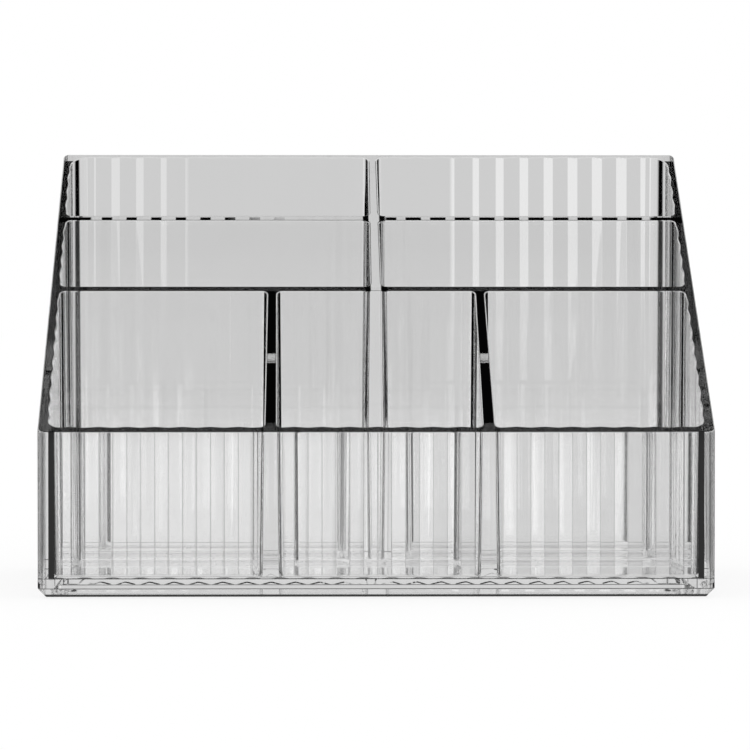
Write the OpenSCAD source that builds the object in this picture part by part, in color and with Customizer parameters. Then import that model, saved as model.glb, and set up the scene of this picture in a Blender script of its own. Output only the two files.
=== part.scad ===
// Clear compartment organizer: a floor slab, four outer walls that are fluted inside,
// two cross walls and three dividers, bonded face to face. The tops of all the walls
// lie in one plane that rises from the low front to the tall back.
// The front faces -Y, and the origin is the middle of the footprint, on the ground.

/* [Overall size] */
// Width from side to side
organizer_width = 240; // [200:1:300]
// Depth from front to back
organizer_depth = 188; // [165:1:230]
// Height of the back, up to the corner that the rim's rounding takes off
back_height = 162.5; // [130:0.5:200]
// Height of the front, up to the corner that the rim's rounding takes off
front_height = 58.5; // [45:0.5:80]
// Radius of the four upright outer corners
corner_radius = 3; // [1:0.5:4]
// Radius of the long edges along the front and the back of the sloping top
rim_radius = 1; // [0.4:0.1:1.5]

/* [Base] */
// Thickness of the floor slab
floor_thickness = 6.4; // [5:0.2:9]
// Height and width of the 45 degree cut round the bottom outer edge
foot_chamfer = 3; // [1:0.2:4]

/* [Outer walls] */
// Thickness of an outer wall where it stands on the floor
wall_foot = 4.6; // [4.2:0.1:6]
// Draft of every wall face inside, which thins the walls upwards
draft_angle = 0.5; // [0:0.1:0.7]
// Distance from one groove to the next inside the side walls and the back wall
flute_pitch = 9.66; // [6:0.02:14]
// Distance from one groove to the next inside the front wall
front_flute_pitch = 9.87; // [6:0.01:14]
// How far the front wall's flutes stand to the right of the middle
front_flute_shift = 0.4; // [0:0.1:5]
// Depth of the grooves
flute_depth = 0.55; // [0.2:0.05:0.9]
// Distance from the front face to the first groove of a side wall
side_flute_start = 5.6; // [0:0.1:14]
// Width of the flat strip beside a corner or a partition
flute_land = 2; // [1:0.1:4]
// How round the bottom of a groove is, from crisp to soft. The ridges stay sharp.
groove_round_share = 0.2; // [0.05:0.05:1]

/* [Partitions] */
// Distance from the front face to the middle of the front cross wall
front_cross_at = 92; // [75:1:105]
// Distance from the front face to the middle of the rear cross wall
rear_cross_at = 141; // [125:1:150]
// Foot thickness of the front cross wall and the front dividers
low_partition_foot = 5.6; // [4.6:0.1:7]
// Foot thickness of the rear cross wall and the centre divider
tall_partition_foot = 6.2; // [5.4:0.1:8]
// Distance between the middles of the two front dividers
front_divider_spacing = 77.4; // [50:0.2:110]
// How far the dividers stand to the right of the middle
divider_shift = 1.2; // [0:0.1:5]

/* [Hidden] */
$fn = 48;

// How far a cutting shape runs past what it cuts
overrun = 8;
half_width = organizer_width / 2;
half_depth = organizer_depth / 2;
rise = (back_height - front_height) / organizer_depth;
slope_angle = atan(rise);
lean = tan(draft_angle);
wall_rise = back_height - floor_thickness + overrun;
front_cross_y = front_cross_at - half_depth;
rear_cross_y = rear_cross_at - half_depth;
front_left_x = divider_shift - front_divider_spacing / 2;
front_right_x = divider_shift + front_divider_spacing / 2;
inner_half_width = half_width - wall_foot;
inner_half_depth = half_depth - wall_foot;
// The rear cross wall and the centre divider each give up half their height here
lap_z = (floor_thickness + slope_z(rear_cross_y)) / 2;
// Steps that draw one flute, and one rounded edge of the rim
flute_steps = 10;
rim_steps = 6;

// Height of the sloping top above a place from front to back
function slope_z(y) = front_height + rise * (y + half_depth);

// Points of an arc, from one angle to another
function arc(centre, radius, from, to) = [
    for (i = [0 : rim_steps])
        let (angle = from + (to - from) * i / rim_steps)
            centre + radius * [cos(angle), sin(angle)]
];

// Middle of the rounding whose middle stands at y, under the sloping top
function rim_centre(y) = [y, slope_z(y) - rim_radius / cos(slope_angle)];

// Depth of the inner face below the ridges, as a share of the full depth,
// at a share of the way from one groove to the next
function dip_share(s) =
    1 - (norm([1 - abs(2 * s - 1), groove_round_share]) - groove_round_share)
    / (norm([1, groove_round_share]) - groove_round_share);

// Points of the flutes in one bay. The grooves lie on a grid that starts at first_groove.
function flutes(bay, first_groove, pitch) = let (
    low = bay[0] + flute_land,
    high = bay[1] - flute_land,
    step = pitch / flute_steps,
    first = ceil((low - first_groove) / step),
    last = floor((high - first_groove) / step)
) concat(
    [[low, 0]],
    [for (i = [first : last]) [
        first_groove + i * step,
        -flute_depth * dip_share((i / flute_steps) - floor(i / flute_steps))
    ]],
    [[high, 0]]
);

// An upright outline from the floor up, whose two sides lean apart or towards each other
function leaning_outline(low, high, spread) = [
    [low, floor_thickness],
    [high, floor_thickness],
    [high + spread * lean * wall_rise, floor_thickness + wall_rise],
    [low - spread * lean * wall_rise, floor_thickness + wall_rise]
];

// Draws an outline of depth and height, and runs it from side to side
module along_x() {
    rotate([90, 0, 90])
        linear_extrude(organizer_width + 2 * overrun, center = true)
            children();
}

// Draws an outline of width and height, and runs it from front to back
module along_y() {
    rotate([90, 0, 0])
        linear_extrude(organizer_depth + 2 * overrun, center = true)
            children();
}

module rounded_plan() {
    straight_width = organizer_width - 2 * corner_radius;
    straight_depth = organizer_depth - 2 * corner_radius;
    square([straight_width, organizer_depth], center = true);
    square([organizer_width, straight_depth], center = true);
    for (x = [-straight_width / 2, straight_width / 2])
        for (y = [-straight_depth / 2, straight_depth / 2])
            translate([x, y])
                circle(corner_radius);
}

// Side view of the whole organizer, with its sloping top and its cut bottom edges
module side_view() {
    polygon(concat(
        [
            [-half_depth, foot_chamfer],
            [foot_chamfer - half_depth, 0],
            [half_depth - foot_chamfer, 0],
            [half_depth, foot_chamfer]
        ],
        arc(rim_centre(half_depth - rim_radius), rim_radius, 0, 90 + slope_angle),
        arc(rim_centre(rim_radius - half_depth), rim_radius, 90 + slope_angle, 180)
    ));
}

// Front view of the outside, with its cut bottom edges
module front_view() {
    polygon([
        [foot_chamfer - half_width, 0],
        [half_width - foot_chamfer, 0],
        [half_width, foot_chamfer],
        [half_width, back_height + overrun],
        [-half_width, back_height + overrun],
        [-half_width, foot_chamfer]
    ]);
}

// The organizer's outside, as one block
module outside() {
    intersection() {
        linear_extrude(back_height + overrun)
            rounded_plan();
        along_x()
            side_view();
        along_y()
            front_view();
    }
}

// All the space above the floor slab
module above_floor() {
    translate([-half_width - overrun, -half_depth - overrun, floor_thickness])
        cube([organizer_width + 2 * overrun, organizer_depth + 2 * overrun, wall_rise]);
}

// The space between the four outer walls, up to the ridges between their flutes
module room() {
    intersection() {
        along_x()
            polygon(leaning_outline(-inner_half_depth, inner_half_depth, 1));
        along_y()
            polygon(leaning_outline(-inner_half_width, inner_half_width, 1));
    }
}

// What is cut from an outer wall inside: a leaning block whose front is fluted.
// It stands at the wall's foot, runs along X and reaches towards +Y.
module fluted_cut(half_length, bays, first_groove, pitch) {
    rotate([draft_angle, 0, 0])
        translate([0, 0, -overrun])
            linear_extrude(wall_rise + 2 * overrun)
                polygon(concat(
                    [[-half_length - overrun, 0]],
                    [for (bay = bays) each flutes(bay, first_groove, pitch)],
                    [
                        [half_length + overrun, 0],
                        [half_length + overrun, wall_foot + overrun],
                        [-half_length - overrun, wall_foot + overrun]
                    ]
                ));
}

// The part of the plan that belongs to one outer wall, out to its two mitres.
// The wall's outer face lies at half_reach on the -Y side and is 2 * half_length long.
module mitred_field(half_length, half_reach) {
    reach = wall_foot + overrun / 2;
    linear_extrude(back_height + overrun)
        polygon([
            [-half_length - overrun, -half_reach - overrun],
            [half_length + overrun, -half_reach - overrun],
            [half_length - reach, reach - half_reach],
            [reach - half_length, reach - half_reach]
        ]);
}

// One outer wall, turned from the front to its own side
module outer_wall(turn, half_length, half_reach, bays, first_groove, pitch = flute_pitch) {
    intersection() {
        outside();
        above_floor();
        rotate([0, 0, turn])
            difference() {
                mitred_field(half_length, half_reach);
                translate([0, wall_foot - half_reach, floor_thickness])
                    fluted_cut(half_length, bays, first_groove, pitch);
            }
    }
}

// A partition that runs from side to side, before it is fitted
module cross_form(y, foot) {
    intersection() {
        along_x()
            polygon(leaning_outline(y - foot / 2, y + foot / 2, -1));
        room();
        outside();
    }
}

// A partition that runs from front to back in a bay of the room, before it is fitted
module divider_form(x, foot, bay) {
    intersection() {
        along_y()
            polygon(leaning_outline(x - foot / 2, x + foot / 2, -1));
        along_x()
            polygon(leaning_outline(bay[0], bay[1], 1));
        outside();
    }
}

// The space above or below the height where the lapped pieces meet
module lap_space(upper) {
    space_z = upper ? lap_z : lap_z - wall_rise;
    translate([-half_width, -half_depth, space_z])
        cube([organizer_width, organizer_depth, wall_rise]);
}

module rear_cross_form() {
    cross_form(rear_cross_y, tall_partition_foot);
}

module centre_divider_form() {
    divider_form(
        divider_shift, tall_partition_foot,
        [front_cross_y + low_partition_foot / 2, inner_half_depth]
    );
}

// Bays of the inner faces, each from one wall to the next
side_bays = [
    [-inner_half_depth, front_cross_y - low_partition_foot / 2],
    [front_cross_y + low_partition_foot / 2, rear_cross_y - tall_partition_foot / 2],
    [rear_cross_y + tall_partition_foot / 2, inner_half_depth]
];
front_bays = [
    [-inner_half_width, front_left_x - low_partition_foot / 2],
    [front_left_x + low_partition_foot / 2, front_right_x - low_partition_foot / 2],
    [front_right_x + low_partition_foot / 2, inner_half_width]
];
back_bays = [
    [-inner_half_width, divider_shift - tall_partition_foot / 2],
    [divider_shift + tall_partition_foot / 2, inner_half_width]
];

// The same bays, met in the other direction
function turned(bays) = [for (i = [len(bays) - 1 : -1 : 0]) [-bays[i][1], -bays[i][0]]];

module base() {
    color("gainsboro")
        difference() {
            outside();
            above_floor();
        }
}

module front_wall() {
    color("gainsboro")
        outer_wall(
            0, half_width, half_depth, front_bays,
            front_flute_shift + front_flute_pitch / 2, front_flute_pitch
        );
}

module back_wall() {
    color("lightgray")
        outer_wall(180, half_width, half_depth, turned(back_bays), 0);
}

module left_wall() {
    color("silver")
        outer_wall(-90, half_depth, half_width, turned(side_bays), half_depth - side_flute_start);
}

module right_wall() {
    color("silver")
        outer_wall(90, half_depth, half_width, side_bays, side_flute_start - half_depth);
}

module front_cross_wall() {
    color("lightgray")
        cross_form(front_cross_y, low_partition_foot);
}

module rear_cross_wall() {
    color("lightgray")
        difference() {
            rear_cross_form();
            intersection() {
                centre_divider_form();
                lap_space(false);
            }
        }
}

module centre_divider() {
    color("whitesmoke")
        difference() {
            centre_divider_form();
            intersection() {
                rear_cross_form();
                lap_space(true);
            }
        }
}

module front_divider(x) {
    divider_form(x, low_partition_foot, [-inner_half_depth, front_cross_y - low_partition_foot / 2]);
}

module front_left_divider() {
    color("whitesmoke")
        front_divider(front_left_x);
}

module front_right_divider() {
    color("whitesmoke")
        front_divider(front_right_x);
}

base();
front_wall();
back_wall();
left_wall();
right_wall();
front_cross_wall();
rear_cross_wall();
centre_divider();
front_left_divider();
front_right_divider();
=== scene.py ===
import math

import bmesh
import bpy
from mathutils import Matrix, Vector, geometry


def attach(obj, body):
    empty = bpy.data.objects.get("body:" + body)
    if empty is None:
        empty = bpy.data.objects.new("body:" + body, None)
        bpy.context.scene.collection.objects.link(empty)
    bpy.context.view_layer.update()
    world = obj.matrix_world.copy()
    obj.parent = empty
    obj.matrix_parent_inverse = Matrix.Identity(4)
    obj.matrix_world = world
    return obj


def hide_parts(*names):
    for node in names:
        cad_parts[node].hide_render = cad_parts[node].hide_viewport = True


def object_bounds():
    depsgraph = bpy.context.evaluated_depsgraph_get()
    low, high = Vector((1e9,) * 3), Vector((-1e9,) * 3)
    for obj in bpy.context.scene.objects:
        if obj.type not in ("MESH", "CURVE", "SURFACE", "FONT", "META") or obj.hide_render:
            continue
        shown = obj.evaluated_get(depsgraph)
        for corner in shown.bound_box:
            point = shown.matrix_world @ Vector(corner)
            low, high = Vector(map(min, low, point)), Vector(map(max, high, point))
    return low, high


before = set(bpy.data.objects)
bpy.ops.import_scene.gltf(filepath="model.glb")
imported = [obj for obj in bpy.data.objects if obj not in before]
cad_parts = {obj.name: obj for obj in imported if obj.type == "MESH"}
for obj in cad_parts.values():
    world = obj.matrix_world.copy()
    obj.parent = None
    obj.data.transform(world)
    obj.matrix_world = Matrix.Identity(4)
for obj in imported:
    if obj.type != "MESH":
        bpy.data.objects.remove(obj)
cad_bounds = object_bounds()


# The four outer walls. They are panels of clear plastic, smooth outside and fluted inside,
# mitred and bonded at the upright corners. Their tops lie in one plane that rises from the
# low front to the tall back, and their inner faces lean by the draft of the mould.
MM = 0.001
UP = Vector((0, 0, 1))
HALF_WIDTH, HALF_DEPTH = 120.0, 94.0
FRONT_HEIGHT, BACK_HEIGHT = 58.5, 162.5
FLOOR = 6.4
WALL_FOOT = 4.6
INNER_X, INNER_Y = HALF_WIDTH - WALL_FOOT, HALF_DEPTH - WALL_FOOT
LEAN = math.tan(math.radians(0.5))
RISE = (BACK_HEIGHT - FRONT_HEIGHT) / (2 * HALF_DEPTH)
TOP_NORMAL = Vector((0, -RISE, 1)).normalized()
RIM_ROUND, RIM_STEPS = 0.7, 6
COVE, COVE_STEPS = 1.8, 4
OUTER_ROUND, CORNER_STEPS = 3.0, 8
FRONT_CORNER, BACK_CORNER, INNER_CORNER, LOW_CORNER = 4.0, 7.0, 2.0, 1.9

# The panels with their ranks. Where two meet, the rounding between them is part of the one
# with the higher rank, and like ranks share it.
RANK = {
    "front_wall": 0, "back_wall": 0, "left_wall": 0, "right_wall": 0,
    "front_cross_wall": 1, "rear_cross_wall": 1,
    "centre_divider": 2, "front_left_divider": 2, "front_right_divider": 2,
}
OUTWARD = {
    "front_wall": Vector((0, -1, 0)), "back_wall": Vector((0, 1, 0)),
    "left_wall": Vector((-1, 0, 0)), "right_wall": Vector((1, 0, 0)),
}

# Where a groove of each outer wall lies, how far it is to the next, and how round it is
FLUTE_PITCH, FRONT_PITCH = 9.66, 9.87
FLUTE_DEPTH, GROOVE_ROUND, CRISP_ROUND = 0.55, 0.2, 0.06
FRONT_SHIFT, SIDE_START = 0.4, 5.6
FLUTES = {
    "front_wall": (FRONT_SHIFT + FRONT_PITCH / 2, FRONT_PITCH, CRISP_ROUND),
    "back_wall": (0.0, FLUTE_PITCH, GROOVE_ROUND),
    "left_wall": (SIDE_START - HALF_DEPTH, FLUTE_PITCH, GROOVE_ROUND),
    "right_wall": (SIDE_START - HALF_DEPTH, FLUTE_PITCH, GROOVE_ROUND),
}
# Where one flute is sampled, as shares of the way from groove to groove, close by the ridge
FLUTE_SHARES = (0.0, 0.03, 0.08, 0.15, 0.25, 0.38, 0.47, 0.53, 0.62, 0.75, 0.85, 0.92, 0.97)
# How near to a corner nothing is sampled, and over how much the face's slope is taken
SPARE_END, SLOPE_STEP = 0.15, 0.02


def turned_between(start, end, share):
    """The unit direction at a share of the way from one to the other."""
    angle = start.angle(end)
    if angle < 1e-6:
        return start.copy()
    return (start * math.sin((1 - share) * angle) + end * math.sin(share * angle)) / math.sin(angle)


def rim_points(foot, grow, across, normal):
    """The rounded rim above a foot point, as places with their normals, from the wall up."""
    height = FRONT_HEIGHT - FLOOR + RISE * (foot.y + HALF_DEPTH)
    height /= 1 - RISE * grow.y
    edge = foot + height * (grow + UP)
    centre = edge - RIM_ROUND * (across + TOP_NORMAL) / (1 + across.dot(TOP_NORMAL))
    points = []
    for i in range(RIM_STEPS + 1):
        place = centre + RIM_ROUND * turned_between(across, TOP_NORMAL, i / RIM_STEPS)
        points.append((place, turned_between(normal, TOP_NORMAL, i / RIM_STEPS)))
    return points


def cove_points(foot, across, normal):
    """The cove between the floor and a wall, as places with their normals, from the floor up."""
    centre = foot + COVE * (across + UP) / (1 + across.dot(UP))
    points = []
    for i in range(COVE_STEPS + 1):
        place = centre - COVE * turned_between(UP, across, i / COVE_STEPS)
        points.append((place, turned_between(UP, normal, i / COVE_STEPS)))
    return points


def room_column(x, y, grow, across, facing):
    """Everything from the floor to the rim along one upright line of a compartment. Its
    places lie straight across from the wall, also where the flutes turn its normals."""
    foot = Vector((x, y, FLOOR))
    across = (across + UP * LEAN).normalized()
    normal = (facing + UP * LEAN).normalized()
    return cove_points(foot, across, normal) + rim_points(foot, grow, across, normal)


def flute_dip(place, first_groove, pitch, groove_round):
    """How far the fluted face lies behind its ridges."""
    share = ((place - first_groove) / pitch) % 1.0
    rise = math.hypot(1 - abs(2 * share - 1), groove_round) - groove_round
    return FLUTE_DEPTH * (1 - rise / (math.hypot(1, groove_round) - groove_round))


def flute_slope(place, flutes):
    """How steeply the fluted face runs towards its ridges."""
    rate = flute_dip(place + SLOPE_STEP, *flutes) - flute_dip(place - SLOPE_STEP, *flutes)
    return rate / (2 * SLOPE_STEP)


def flute_places(low, high, first_groove, pitch):
    """Where a fluted side is sampled between its two corners."""
    first = math.floor((low - first_groove) / pitch)
    last = math.ceil((high - first_groove) / pitch)
    places = [first_groove + (k + share) * pitch for k in range(first, last) for share in FLUTE_SHARES]
    return [place for place in places if low + SPARE_END < place < high - SPARE_END]


def corner_radius(before, after):
    """The radius of the upright rounding where two panels meet."""
    if RANK[before] == RANK[after]:
        return BACK_CORNER if "back_wall" in (before, after) else FRONT_CORNER
    return LOW_CORNER if "front_wall" in (before, after) else INNER_CORNER


# For each side of a compartment, from the front one round to the left one: the way that it
# faces, the way in which it is walked, and whether that way runs up or down its axis
SIDES = [
    (Vector((0, 1, 0)), Vector((1, 0, 0)), 1),
    (Vector((-1, 0, 0)), Vector((0, 1, 0)), 1),
    (Vector((0, -1, 0)), Vector((-1, 0, 0)), -1),
    (Vector((1, 0, 0)), Vector((0, -1, 0)), -1),
]


def compartment(x0, x1, y0, y1, panels):
    """Columns round one compartment, each with the panel that the strip after it belongs to."""
    corners = [Vector(c) for c in ((x0, y0, 0), (x1, y0, 0), (x1, y1, 0), (x0, y1, 0))]
    flutes = [FLUTES.get(panel) for panel in panels]
    ranks = [RANK[panel] for panel in panels]
    radii = [corner_radius(panels[i - 1], panels[i]) for i in range(4)]

    def dip(side, place):
        return flute_dip(place * SIDES[side][2], *flutes[side]) if flutes[side] else 0.0

    # Where each side starts and ends between its corners, and how deep the flutes are there
    first, last = [0.0] * 4, [0.0] * 4
    for _ in range(4):
        start = [corners[i].dot(SIDES[i][1]) + radii[i] - last[i - 1] for i in range(4)]
        end = [corners[(i + 1) % 4].dot(SIDES[i][1]) - radii[(i + 1) % 4] + first[(i + 1) % 4]
               for i in range(4)]
        first = [dip(i, start[i]) for i in range(4)]
        last = [dip(i, end[i]) for i in range(4)]

    columns, owners = [], []
    for side in range(4):
        facing, way, sign = SIDES[side]
        last_facing = SIDES[side - 1][0]
        before, after = panels[side - 1], panels[side]
        radius = radii[side]
        middle = corners[side] - last[side - 1] * last_facing - first[side] * facing
        middle += radius * (last_facing + facing)
        for i in range(CORNER_STEPS + 1):
            turn = turned_between(last_facing, facing, i / CORNER_STEPS)
            place = middle - radius * turn
            columns.append(room_column(place.x, place.y, -LEAN * (last_facing + facing), turn, turn))
            if ranks[side - 1] == ranks[side]:
                shared_until = CORNER_STEPS // 2
            else:
                shared_until = CORNER_STEPS - 1 if ranks[side - 1] > ranks[side] else 1
            owners.append(before if i < shared_until else after)
        if flutes[side]:
            low, high = sorted((start[side] * sign, end[side] * sign))
            level = corners[side] - corners[side].dot(way) * way
            for place in flute_places(low, high, *flutes[side][:2])[::sign]:
                turn = (facing + flute_slope(place, flutes[side]) * sign * way).normalized()
                spot = level + place * sign * way - flute_dip(place, *flutes[side]) * facing
                columns.append(room_column(spot.x, spot.y, -LEAN * facing, facing, turn))
                owners.append(after)
    return columns, owners


# The seven compartments between the walls, the cross walls and the dividers
LOW_HALF, TALL_HALF = 2.8, 3.1
FRONT_CROSS_Y, REAR_CROSS_Y = -2.0, 47.0
LEFT_X, CENTRE_X, RIGHT_X = -37.5, 1.2, 39.9
FRONT_ROW = (-INNER_Y, FRONT_CROSS_Y - LOW_HALF)
MIDDLE_ROW = (FRONT_CROSS_Y + LOW_HALF, REAR_CROSS_Y - TALL_HALF)
BACK_ROW = (REAR_CROSS_Y + TALL_HALF, INNER_Y)
ROOMS = [
    compartment(-INNER_X, LEFT_X - LOW_HALF, *FRONT_ROW,
                ["front_wall", "front_left_divider", "front_cross_wall", "left_wall"]),
    compartment(LEFT_X + LOW_HALF, RIGHT_X - LOW_HALF, *FRONT_ROW,
                ["front_wall", "front_right_divider", "front_cross_wall", "front_left_divider"]),
    compartment(RIGHT_X + LOW_HALF, INNER_X, *FRONT_ROW,
                ["front_wall", "right_wall", "front_cross_wall", "front_right_divider"]),
]
for row, front, back in ((MIDDLE_ROW, "front_cross_wall", "rear_cross_wall"),
                         (BACK_ROW, "rear_cross_wall", "back_wall")):
    ROOMS.append(compartment(-INNER_X, CENTRE_X - TALL_HALF, *row,
                             [front, "centre_divider", back, "left_wall"]))
    ROOMS.append(compartment(CENTRE_X + TALL_HALF, INNER_X, *row,
                             [front, "right_wall", back, "centre_divider"]))


def outline_place(corner, turn, inset):
    """A place on the outside's plan, moved inwards by inset."""
    radius = max(OUTER_ROUND - inset, 0.3)
    reach_x, reach_y = HALF_WIDTH - inset - radius, HALF_DEPTH - inset - radius
    return Vector((corner[0] * reach_x, corner[1] * reach_y, 0)) + radius * turn


# The outside, walked clockwise from above: each place's corner and the way it faces, with
# the wall that the strip after it belongs to
OUTLINE, OUTLINE_OWNERS = [], []
for corner, before, after in (
    ((-1, -1), "front_wall", "left_wall"), ((-1, 1), "left_wall", "back_wall"),
    ((1, 1), "back_wall", "right_wall"), ((1, -1), "right_wall", "front_wall"),
):
    for i in range(CORNER_STEPS + 1):
        OUTLINE.append((corner, turned_between(OUTWARD[before], OUTWARD[after], i / CORNER_STEPS)))
        OUTLINE_OWNERS.append(before if i < CORNER_STEPS // 2 else after)

outer_skin = []
for corner, turn in OUTLINE:
    foot = outline_place(corner, turn, 0) + UP * FLOOR
    outer_skin.append([(foot, turn)] + rim_points(foot, Vector((0, 0, 0)), turn, turn))
RINGS = ROOMS + [(outer_skin, OUTLINE_OWNERS)]


class Wire:
    """One socket of a shader, so that sums of sockets add Math nodes."""

    def __init__(self, recipe, socket):
        self.recipe, self.socket = recipe, socket

    def _math(self, operation, *values):
        return self.recipe.node("ShaderNodeMath", {"operation": operation}, *values)

    def __add__(self, other):
        return self._math("ADD", self, other)

    def __radd__(self, other):
        return self._math("ADD", other, self)

    def __sub__(self, other):
        return self._math("SUBTRACT", self, other)

    def __rsub__(self, other):
        return self._math("SUBTRACT", other, self)

    def __mul__(self, other):
        return self._math("MULTIPLY", self, other)

    def __rmul__(self, other):
        return self._math("MULTIPLY", other, self)

    def __truediv__(self, other):
        return self._math("DIVIDE", self, other)

    def largest(self, other):
        return self._math("MAXIMUM", self, other)

    def arctan(self, other):
        return self._math("ARCTAN2", self, other)

    def size(self):
        return self._math("ABSOLUTE", self)

    def to_and_fro(self, reach):
        """Runs from 0 up to reach and down again, over and over."""
        return self._math("PINGPONG", self, reach)

    def _step(self, low, high, below, above):
        return self.recipe.node(
            "ShaderNodeMapRange", {"interpolation_type": "SMOOTHSTEP"}, self, low, high, below, above)

    def step_up(self, low, high):
        """0 below low, 1 above high, smooth between."""
        return self._step(low, high, 0.0, 1.0)

    def step_down(self, low, high):
        """1 below low, 0 above high, smooth between."""
        return self._step(low, high, 1.0, 0.0)

    def within(self, low, high, soft):
        """1 inside a range and 0 outside it, with its ends softened."""
        return self.step_up(low, low + soft) * self.step_down(high - soft, high)

    def blended(self, other, share):
        """This value at share 0 and the other at share 1."""
        return self * (1 - share) + other * share


class Recipe:
    """The nodes of one material or of the world."""

    def __init__(self, tree):
        self.tree = tree
        tree.nodes.clear()

    def node(self, kind, settings=None, *values, out=0, **named):
        """Adds a node with its settings. Values and links go to its sockets in order or by name."""
        made = self.tree.nodes.new(kind)
        for key, value in (settings or {}).items():
            setattr(made, key, value)
        for key, value in list(enumerate(values)) + list(named.items()):
            socket = made.inputs[key.replace("_", " ") if isinstance(key, str) else key]
            if isinstance(value, Wire):
                self.tree.links.new(value.socket, socket)
            elif value is not None:
                socket.default_value = value
        return Wire(self, made.outputs[out]) if made.outputs else None

    def parts(self, vector):
        """The three parts of a vector."""
        split = self.node("ShaderNodeSeparateXYZ", {}, vector)
        return [Wire(self, socket) for socket in split.socket.node.outputs]

    def mixed(self, share, first, second):
        """A colour between two, by a share. The mix node's colours are its sockets 6 and 7."""
        return self.node("ShaderNodeMix", {"data_type": "RGBA"}, share, *[None] * 5, first, second, out=2)


def new_material(name):
    """A material and the recipe of its nodes."""
    material = bpy.data.materials.new(name)
    material.use_nodes = True
    return material, Recipe(material.node_tree)


def grey(level):
    return (level, level, level, 1.0)


def by_divider(x):
    """How far a place lies from the centre divider's middle, and whether it is right of it."""
    return (x - CENTRE_X).size(), (x - CENTRE_X).step_up(2, 5)


# Where the painted reflection of the back wall's flutes starts on the rear cross wall's rim, and its
# pitch
DASH_START, DASH_PITCH = -105.8, 9.43


def rim_painted_shade_and_light(x, y, z, upward):
    """Painted shade and light on the rims, as a factor on the plastic's colour, where upward says
    how squarely a face lies in the top's plane. Their eased edges get painted shade. Their flat
    tops get painted shade in front and stay clear further back."""
    above_floor = z.step_up(FLOOR + 5, FLOOR + 6)
    eased = above_floor * upward.step_up(0.86, 0.93) * y.step_down(INNER_Y - 1.4, INNER_Y - 1.0)
    flat = above_floor * upward.step_up(0.992, 0.998)
    clear = 0.004 * (y + INNER_Y).step_down(0.6, 1.0)
    clear += 0.003 * (y - FRONT_CROSS_Y).step_up(-2.3, -1.9)
    clear += 0.97 * (y - FRONT_CROSS_Y).step_up(4, 5)
    # Painted light: a lighter stretch midway along the front dividers' shaded tops
    lit_stretch = y.within(-51.2, -44.8, 1.0)
    clear += 0.55 * lit_stretch
    clear = clear.blended(0.004 + 0.026 * y.step_down(-45, -35),
                          x.size().step_up(INNER_X - 0.4, INNER_X + 0.2))

    # A painted reflection of the back wall's flutes, as dashes on the rear cross wall's rim,
    # which start further in and run longer on the right
    from_centre, on_right = by_divider(x)
    beat = (x - (DASH_START + 4.2 * on_right)).to_and_fro(DASH_PITCH / 2) + on_right
    dashes = beat.step_up(2.4, 2.9) * x.size().step_up(20, 55).largest(on_right)
    dashes = dashes.largest(x.size().step_up(106.5, 107.5))
    behind_rear = y - REAR_CROSS_Y
    clear *= 1 - behind_rear.within(-4, 4, 0.4) * dashes * behind_rear.step_down(0, 0.4)

    # The centre divider's rim stays clear, with painted shade on the fillets where it meets
    # the cross walls
    clear = clear.blended(1, from_centre.step_down(1.7, 2.0) * (y - FRONT_CROSS_Y).step_up(-2.3, -1.9))
    near_cross = behind_rear.size().step_down(3.2, 4.0)
    near_cross = near_cross.largest((y - FRONT_CROSS_Y).size().step_down(3.4, 4.4))
    fillets = from_centre.step_up(1.9, 2.2) * from_centre.step_down(4.0, 4.6) * near_cross
    return (1 - eased * (1 - flat * clear)) * (1 - fillets * above_floor * upward.step_up(0.5, 0.7))


def corner_painted_shade(x, y, z, sideways, upright):
    """Painted shade on the upright roundings, as a factor on the plastic's colour, where sideways
    says how far a face is turned to the side, and upright whether it stands. The turned ones,
    which look dark seen from in front, get painted shade."""
    from_centre, on_right = by_divider(x)
    near_centre = from_centre.step_down(6, 7)
    near_side = x.size().step_up(100, 105)
    narrowed = 0.28 * y.step_up(30, 35) * near_centre * on_right.largest(z.step_up(140, 160))
    narrowed += 0.08 * near_side
    by_side = y.step_up(78, 80) * near_side
    steep = (sideways - narrowed).step_up(0.44, 0.52)
    steep *= (sideways + 0.15 * by_side).step_down(0.88, 0.95)

    # Left of the centre divider, in front of the rear cross wall, the rounding gets painted streaks of
    # shade
    middle_left = y.step_up(38, 39) * y.step_down(45.0, 45.5) * (1 - on_right) * near_centre
    streaky = 0.45 + 0.5 * sideways.step_up(0.88, 0.94).largest(sideways.step_down(0.16, 0.24))
    steep = steep.blended(streaky * sideways.step_up(0.05, 0.09), middle_left)

    # Painted shade on the centre divider's end at the front cross wall, and on the front
    # compartments' corners
    at_divider = from_centre.step_down(5.4, 5.8) * (y - 1.8).size().step_down(1.5, 2.0)
    at_divider *= sideways.step_up(0.10, 0.16) * z.step_up(52, 62)
    behind_front = y + INNER_Y
    in_front = behind_front.step_down(7.4, 9.4)
    in_front *= sideways.step_up(0.40, 0.46) * sideways.step_down(0.95, 0.98)
    inside = x.size().step_down(INNER_X + 1.1, INNER_X + 1.5)
    tone = 1 - upright * steep.largest(at_divider).largest(in_front) * inside

    # The front wall's flutes are flat facets, which meet in fine lines of painted shade
    facet = (x - FRONT_SHIFT).to_and_fro(FRONT_PITCH / 4)
    tone *= 1 - 0.3 * facet.step_down(0.10, 0.26) * behind_front.within(-1.5, 0.6, 0.1) * upright
    # Painted shade in the front wall's ends at the outer corners, darkest along a line near each side
    outer_corner = x.size().step_up(INNER_X + 1.0, INNER_X + 1.6) * behind_front.step_down(1.4, 2.4)
    corner_line = (x.size() - (HALF_WIDTH - 1.8)).size().step_down(0.15, 0.45)
    return tone * (1 - outer_corner * upright * (0.4 + 0.5 * corner_line))


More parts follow.
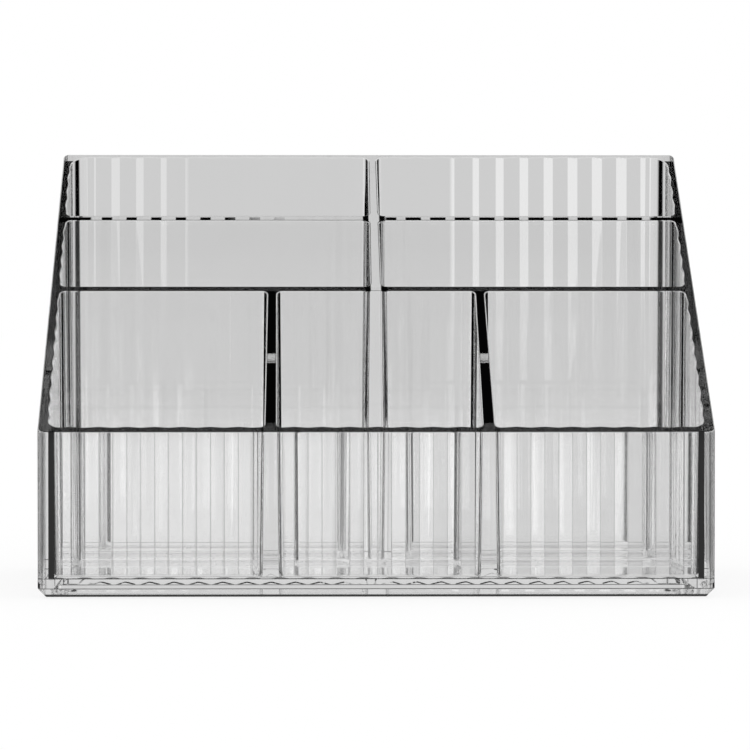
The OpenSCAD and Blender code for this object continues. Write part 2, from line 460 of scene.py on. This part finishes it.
def foot_painted_shade(x, y, z, level):
    """Painted shade on the cove along the front, the edges of the slab's cut and the line where the
    walls stand on the slab, as a factor on the plastic's colour, where level says how far a face
    lies level."""
    cove = (y + INNER_Y).within(-1.4, 1.6, 0.2) * level.step_down(0.97, 0.99)
    cove *= (z - FLOOR).step_down(0.5, 1.1) * (z - FLOOR).step_up(-0.1, 0)
    cut_edge = z.step_up(2.8, 3.0) * z.step_down(3.15, 3.3) * level.step_up(0.02, 0.1)
    # Painted shadow along the slab's lowest edge, where it stands on the floor
    lowest = z.step_down(0.8, 1.2) * level.step_down(0.9, 0.95)
    # Painted shade in a stripe on the front wall's outside near each end
    front_edge = (y + HALF_DEPTH).step_down(0.3, 0.5) * x.size().within(113.8, 116.2, 0.2)
    front_edge *= (z - FLOOR).step_up(-0.5, 0.5)
    tone = (1 - 0.5 * cove) * (1 - cut_edge) * (1 - lowest) * (1 - front_edge)

    # Outside, a line of painted shade where the walls stand on the slab, wavy along the front
    groove = (x - FLUTES["front_wall"][0]).to_and_fro(FRONT_PITCH / 2)
    wave = 0.35 * groove.step_down(0.8, 3.6) * (y + HALF_DEPTH).step_down(1.0, 1.2)
    outside = (x.size() - HALF_WIDTH).step_up(-1.5, -1.4)
    outside = outside.largest((y.size() - HALF_DEPTH).step_up(-1.0, -0.9))
    foot_line = outside * z.step_up(6.38, 6.44) * (z - wave).step_down(6.68, 6.80)
    return tone * (1 - 0.97 * foot_line)


PLASTIC_IOR = 1.59


def clear_plastic(name):
    """Colourless plastic, polished by the mould, with faint flow marks. Its rims, small roundings
    and foot get painted shade in a darker or black base colour, as they bend the view to where
    the room is dark, and the rims a painted light stretch."""
    material, recipe = new_material(name)
    place = recipe.node("ShaderNodeTexCoord", out="Object")
    facing = recipe.node("ShaderNodeTexCoord", out="Normal")
    marks = recipe.node("ShaderNodeTexNoise", {}, Vector=place, Scale=30.0, Detail=3.0)
    x, y, z = [part / MM for part in recipe.parts(place)]
    sideways, _, level = [part.size() for part in recipe.parts(facing)]
    upward = recipe.node("ShaderNodeVectorMath", {"operation": "DOT_PRODUCT"},
                         facing, tuple(TOP_NORMAL), out="Value").size()
    # Painted shade on the rims, upright roundings and foot, and painted light on the rims: tone 0 paints
    # the plastic black
    tone = rim_painted_shade_and_light(x, y, z, upward) * foot_painted_shade(x, y, z, level)
    tone *= corner_painted_shade(x, y, z, sideways, level.step_down(0.2, 0.4))
    surface = recipe.node(
        "ShaderNodeBsdfPrincipled", {},
        Base_Color=recipe.mixed(tone, grey(0.0), recipe.mixed(marks, grey(0.97), grey(1.0))),
        Roughness=marks * 0.004,
        IOR=PLASTIC_IOR, Transmission_Weight=1.0,
    )
    recipe.node("ShaderNodeOutputMaterial", {}, Surface=surface)
    return material


def bonded_seam(name):
    """Where two pieces are joined the plastic is one, so nothing shows."""
    material, recipe = new_material(name)
    surface = recipe.node(
        "ShaderNodeBsdfPrincipled", {}, Base_Color=grey(1.0), Roughness=0.0, IOR=PLASTIC_IOR,
        Transmission_Weight=1.0, Alpha=0.0,
    )
    recipe.node("ShaderNodeOutputMaterial", {}, Surface=surface)
    return material


FINISHES = [clear_plastic("clear_plastic"), bonded_seam("bonded_seam")]
PLAIN, SEAM = range(2)
STEPS_PER_MM = 2000
SAME_PLACE = 1e-6


class Shape:
    """A closed mesh, gathered from faces whose corners are places with their normals."""

    def __init__(self):
        self.places, self.normals, self.faces, self.finishes, self.known = [], [], [], [], {}

    def corner(self, point):
        """The number of a corner. Places are kept inside the CAD's box, and those that are the
        same to half a micron share one corner."""
        place, normal = point
        place = Vector(min(max(c, low / MM), high / MM) for c, low, high in zip(place, *cad_bounds))
        key = tuple(round(c * STEPS_PER_MM) for c in place)
        if key not in self.known:
            self.known[key] = len(self.places)
            self.places.append(place * MM)
            self.normals.append(normal)
        return self.known[key]

    def face(self, points, finish):
        """Adds a face, without the corners that fall on one another."""
        indices = []
        for point in points:
            index = self.corner(point)
            if not indices or (index != indices[-1] and index != indices[0]):
                indices.append(index)
        if len(indices) > 2:
            self.faces.append(indices)
            self.finishes.append(finish)

    def strip(self, left, right, finish):
        """Adds the faces between two columns."""
        for k in range(len(left) - 1):
            self.face([left[k], right[k], right[k + 1], left[k + 1]], finish)

    def flat(self, points, finish, upright=False):
        """Fills a flat outline, seen from above or, when it stands upright, from the front."""
        outline = []
        for point in points:
            if self.corner(point) not in [self.corner(known) for known in outline[-1:] + outline[:1]]:
                outline.append(point)
        view = [Vector((place.x, place.z if upright else place.y)) for place, normal in outline]
        filled = geometry.delaunay_2d_cdt(view, [], [list(range(len(view)))], 1, SAME_PLACE)
        triangles, origins = filled[2:4]
        for triangle in triangles:
            self.face([outline[origins[i][0]] for i in triangle], finish)

    def put(self, name):
        """Puts the piece in the scene, in the place of the CAD node of the same name."""
        mesh = bpy.data.meshes.new(name)
        mesh.from_pydata(self.places, [], self.faces)
        for material in FINISHES:
            mesh.materials.append(material)
        mesh.polygons.foreach_set("material_index", self.finishes)
        mesh.update()
        work = bmesh.new()
        work.from_mesh(mesh)
        bmesh.ops.recalc_face_normals(work, faces=work.faces)
        work.to_mesh(mesh)
        work.free()
        mesh.shade_smooth()
        mesh.normals_split_custom_set_from_vertices(self.normals)
        thing = bpy.data.objects.new(name, mesh)
        bpy.context.scene.collection.objects.link(thing)
        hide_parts(name)
        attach(thing, "root")


def runs_of(panel, ring):
    """The unbroken runs of columns that a panel owns in one ring."""
    columns, owners = ring
    count = len(columns)
    runs = []
    for start in range(count):
        if owners[start] == panel and owners[start - 1] != panel:
            run, i = [columns[start]], start
            while owners[i % count] == panel:
                i += 1
                run.append(columns[i % count])
            runs.append(run)
    return runs


def loops_of(panel):
    """A panel's runs, chained into closed loops that are walked with the plastic on the right."""
    runs = [run for ring in RINGS for run in runs_of(panel, ring)]
    loops = []
    while runs:
        loop = [runs.pop(0)]
        while True:
            tail = loop[-1][-1][0][0]
            near = min([loop[0]] + runs, key=lambda run: (run[0][0][0] - tail).length)
            if near is loop[0]:
                break
            runs = [run for run in runs if run is not near]
            loop.append(near)
        loops.append(loop)
    return loops


def bonded_panel(panel):
    """Builds a panel between its compartments and the outside."""
    shape = Shape()
    for loop in loops_of(panel):
        for number, run in enumerate(loop):
            for left, right in zip(run, run[1:]):
                shape.strip(left, right, PLAIN)
            tail, head = run[-1], loop[(number + 1) % len(loop)][0]
            if len(tail) == len(head):
                shape.strip(tail, head, SEAM)
            else:
                shape.flat(tail + head[::-1], SEAM, upright=True)
        shape.flat([column[0] for run in loop for column in run], SEAM)
        shape.flat([column[-1] for run in loop for column in run], PLAIN)
    shape.put(panel)


for wall in OUTWARD:
    bonded_panel(wall)


# The two cross walls. They are clear panels between the side walls, one behind the front row
# of compartments and a thicker and taller one in front of the back row, bonded to the slab
# and the side walls. The rear one is drawn in two halves, bonded to the centre divider.
for cross_wall in ("front_cross_wall", "rear_cross_wall"):
    bonded_panel(cross_wall)


# The three dividers. They are clear panels that run from front to back: the centre one from
# the front cross wall through the rear one to the back wall, and two that part the front row.
# They are bonded to the slab and to the walls that they meet.
for divider in ("centre_divider", "front_left_divider", "front_right_divider"):
    bonded_panel(divider)


# The floor slab. It is one plate of the same clear plastic under the whole organizer, with
# its bottom edge cut at 45 degrees. All walls, cross walls and dividers are bonded on it.
FOOT_CUT, EDGE = 3.0, 0.2
HALF_EDGE = EDGE / math.sqrt(2)
edge_columns = []
for corner, turn in OUTLINE:
    slant = (turn - UP).normalized()
    edge_columns.append([
        (outline_place(corner, turn, inset) + UP * height, normal)
        for inset, height, normal in (
            (FOOT_CUT + EDGE, 0, -UP),
            (FOOT_CUT - HALF_EDGE, HALF_EDGE, slant),
            (HALF_EDGE, FOOT_CUT - HALF_EDGE, slant),
            (0, FOOT_CUT + EDGE, turn),
            (0, FLOOR, turn),
        )
    ])

slab = Shape()
for left, right in zip(edge_columns, edge_columns[1:] + edge_columns[:1]):
    slab.strip(left, right, PLAIN)
slab.flat([column[0] for column in edge_columns], PLAIN)
for columns, owners in ROOMS:
    slab.flat([column[0] for column in columns], PLAIN)
for panel in RANK:
    for loop in loops_of(panel):
        slab.flat([column[0] for run in loop for column in run], SEAM)
slab.put("base")


# The studio's floor. It is a wide sheet of white paper, a hair under the organizer, that the
# camera sees as pure white. Seen through the plastic it gives way to the studio's grey.
PAPER_REACH, PAPER_DROP = 9.0, 0.4
LIT_SHARE = 0.85


def seen_in_plastic(recipe):
    """Whether a ray has come through the plastic or off it."""
    light = "ShaderNodeLightPath"
    return recipe.node(light, out="Is Transmission Ray").largest(recipe.node(light, out="Is Glossy Ray"))


floor_mesh = bpy.data.meshes.new("studio_floor")
floor_mesh.from_pydata(
    [(x * PAPER_REACH, y * PAPER_REACH, 0) for x, y in ((-1, -1), (1, -1), (1, 1), (-1, 1))],
    [], [(0, 1, 2, 3)],
)
studio_floor = bpy.data.objects.new("studio_floor", floor_mesh)
studio_floor.location.z = -PAPER_DROP * MM
bpy.context.scene.collection.objects.link(studio_floor)
floor_material, recipe = new_material("pale_floor")
camera_ray = recipe.node("ShaderNodeLightPath", out="Is Camera Ray")
paint = recipe.node("ShaderNodeBsdfDiffuse", {}, Color=grey(0.92))
white = recipe.node("ShaderNodeEmission", {}, Color=grey(1.0), Strength=1.0)
gap = recipe.node("ShaderNodeBsdfTransparent", {}, Color=grey(1.0))
surface = recipe.node("ShaderNodeMixShader", {}, camera_ray * LIT_SHARE, paint, white)
surface = recipe.node("ShaderNodeMixShader", {}, seen_in_plastic(recipe), surface, gap)
recipe.node("ShaderNodeOutputMaterial", {}, Surface=surface)
floor_mesh.materials.append(floor_material)


# The studio's light. It is a white tent all round, a little brighter for what it lights than
# for the camera. What shows in the plastic is a grey room instead, with two slanted panels
# behind the organizer and a low lamp on each side of the camera.
DEGREE = math.radians(1)
TENT_LIGHT, EVEN_LIGHT, CEILING_DARK = 1.1, 0.68, 0.98
BACKGROUND, TABLE, PANEL, RIGHT_EXTRA = 0.655, 0.05, 0.14, 0.08
ROOM_LIGHT, LAMP = 0.3, 2.4


def studio_level(x, y, z):
    """How bright the studio is in a direction, for light that has come through plastic."""
    azimuth = x.arctan(y)
    spread = azimuth.size()
    on_right = azimuth.step_up(-0.01, 0.01)
    ahead = y.step_up(-0.01, 0.01)

    # Behind the organizer: a grey background with two slanted panels, above a pale table. The
    # right panel is brighter and starts a little further out.
    panels = (PANEL + RIGHT_EXTRA * on_right) * z.step_up(-0.045, -0.012)
    panels *= (spread - 0.0061 * on_right).step_up(5.8 * DEGREE, 6.1 * DEGREE)
    slanted_edge = (z - 2.0 * (spread - 0.1168 - 0.0290 * on_right)).step_up(-0.002, 0.002)
    panels *= 0.3 + 0.7 * slanted_edge
    behind = BACKGROUND + TABLE * z.step_down(-0.062, -0.042) + panels
    behind *= 1 - spread.step_up(20 * DEGREE, 32 * DEGREE)

    # In front of it: a darker room above the table, and the two lamps
    toward = x.arctan(y * -1.0)
    lamps = toward.step_up(9 * DEGREE, 12 * DEGREE)
    lamps += toward.step_down(-21.5 * DEGREE, -19.5 * DEGREE)
    lamps *= toward.size().step_down(45 * DEGREE, 60 * DEGREE) * z.step_down(-0.062, -0.055)
    dim = z.step_down(-0.034, -0.028).largest(z.step_up(0.05, 0.10))
    before = ROOM_LIGHT + ROOM_LIGHT * dim + LAMP * lamps
    before *= toward.size().step_down(50 * DEGREE, 70 * DEGREE)

    # All of that lies near the level of the eye. Above and below, the studio is evenly lit.
    near_level = z.step_up(-0.120, -0.105) * z.step_down(0.25, 0.35)
    return EVEN_LIGHT * (1 - near_level) + before.blended(behind, ahead) * near_level


world = bpy.data.worlds.new("studio")
bpy.context.scene.world = world
world.use_nodes = True
recipe = Recipe(world.node_tree)
camera_ray = recipe.node("ShaderNodeLightPath", out="Is Camera Ray")
x, y, z = recipe.parts(recipe.node("ShaderNodeTexCoord", out="Generated"))
# The plastic's outside mirrors a dark ceiling, its inside doesn't
mirrored = recipe.node("ShaderNodeLightPath", out="Is Reflection Ray") * z.step_up(0.76, 0.82)
room_level = studio_level(x, y, z) * (1 - CEILING_DARK * mirrored)
plain_light = camera_ray + (1 - camera_ray) * TENT_LIGHT
everything = plain_light.blended(room_level, seen_in_plastic(recipe))
background = recipe.node("ShaderNodeBackground", {}, Color=everything, Strength=1.0)
recipe.node("ShaderNodeOutputWorld", {}, Surface=background)


# The camera. It has a long lens and stands far in front of the organizer, a little left of
# its middle and at two thirds of its height, and looks slightly down and to the right.
LENS, SENSOR = 222.34, 36.0
EYE_SIDE, EYE_AWAY, EYE_HEIGHT = -26.4, 1637.0, 108.7
LOOK_DOWN, LOOK_RIGHT = 1.051, 0.903
camera_data = bpy.data.cameras.new("camera")
camera_data.sensor_width = SENSOR
camera_data.lens = LENS
camera_data.clip_end = 50.0
camera = bpy.data.objects.new("camera", camera_data)
camera.location = Vector((EYE_SIDE, -HALF_DEPTH - EYE_AWAY, EYE_HEIGHT)) * MM
camera.rotation_euler = (math.radians(90 - LOOK_DOWN), 0.0, math.radians(-LOOK_RIGHT))
bpy.context.scene.collection.objects.link(camera)
bpy.context.scene.camera = camera
bpy.context.scene.view_settings.view_transform = "Standard"

# A ray passes many clear walls and seams on its way through the organizer
CLEAR_FACES, MIRRORINGS, SEAMS = 48, 24, 96
cycles = bpy.context.scene.cycles
cycles.max_bounces = CLEAR_FACES
cycles.transmission_bounces = CLEAR_FACES
cycles.glossy_bounces = MIRRORINGS
cycles.transparent_max_bounces = SEAMS
